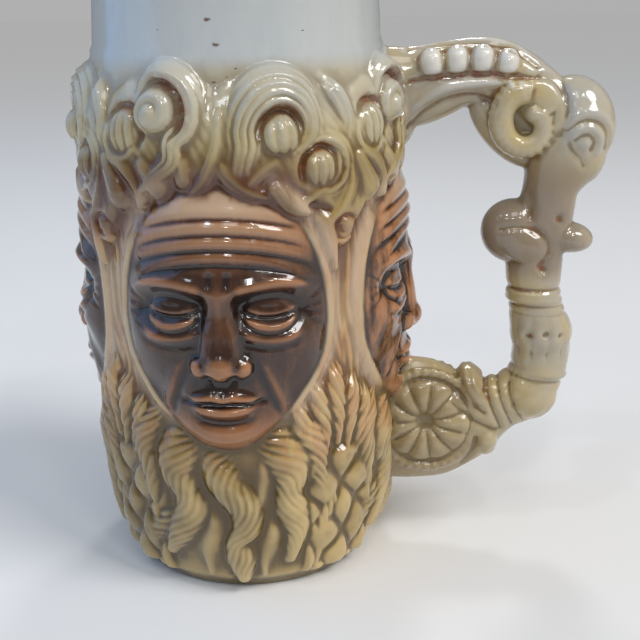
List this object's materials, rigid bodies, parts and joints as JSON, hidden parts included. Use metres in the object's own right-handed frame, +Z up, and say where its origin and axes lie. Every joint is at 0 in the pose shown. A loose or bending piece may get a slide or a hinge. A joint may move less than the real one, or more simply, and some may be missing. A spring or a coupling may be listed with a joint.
{
  "type": "porcelain mug",
  "caption": "Tall hollow porcelain drinking mug with bearded masks, curly hair and wavy beards in relief round its body, and a handle in the form of a ram's head.",
  "frame": {"origin": "centre of the flat underside", "axes": "+Z up towards the rim, -Y out of the middle of the front mask, +X along the handle"},
  "size_m": [0.1577, 0.1036, 0.1699],
  "materials": {
    "glazed_porcelain": "glazed porcelain: cream body under a clear glossy glaze, blue-white at the neck, yellow-green and ochre stains in the beard and hair, dark brown stain in the hollows of the masks"
  },
  "bodies": {
    "root": {"mug": "glazed_porcelain"}
  },
  "joints": []
}
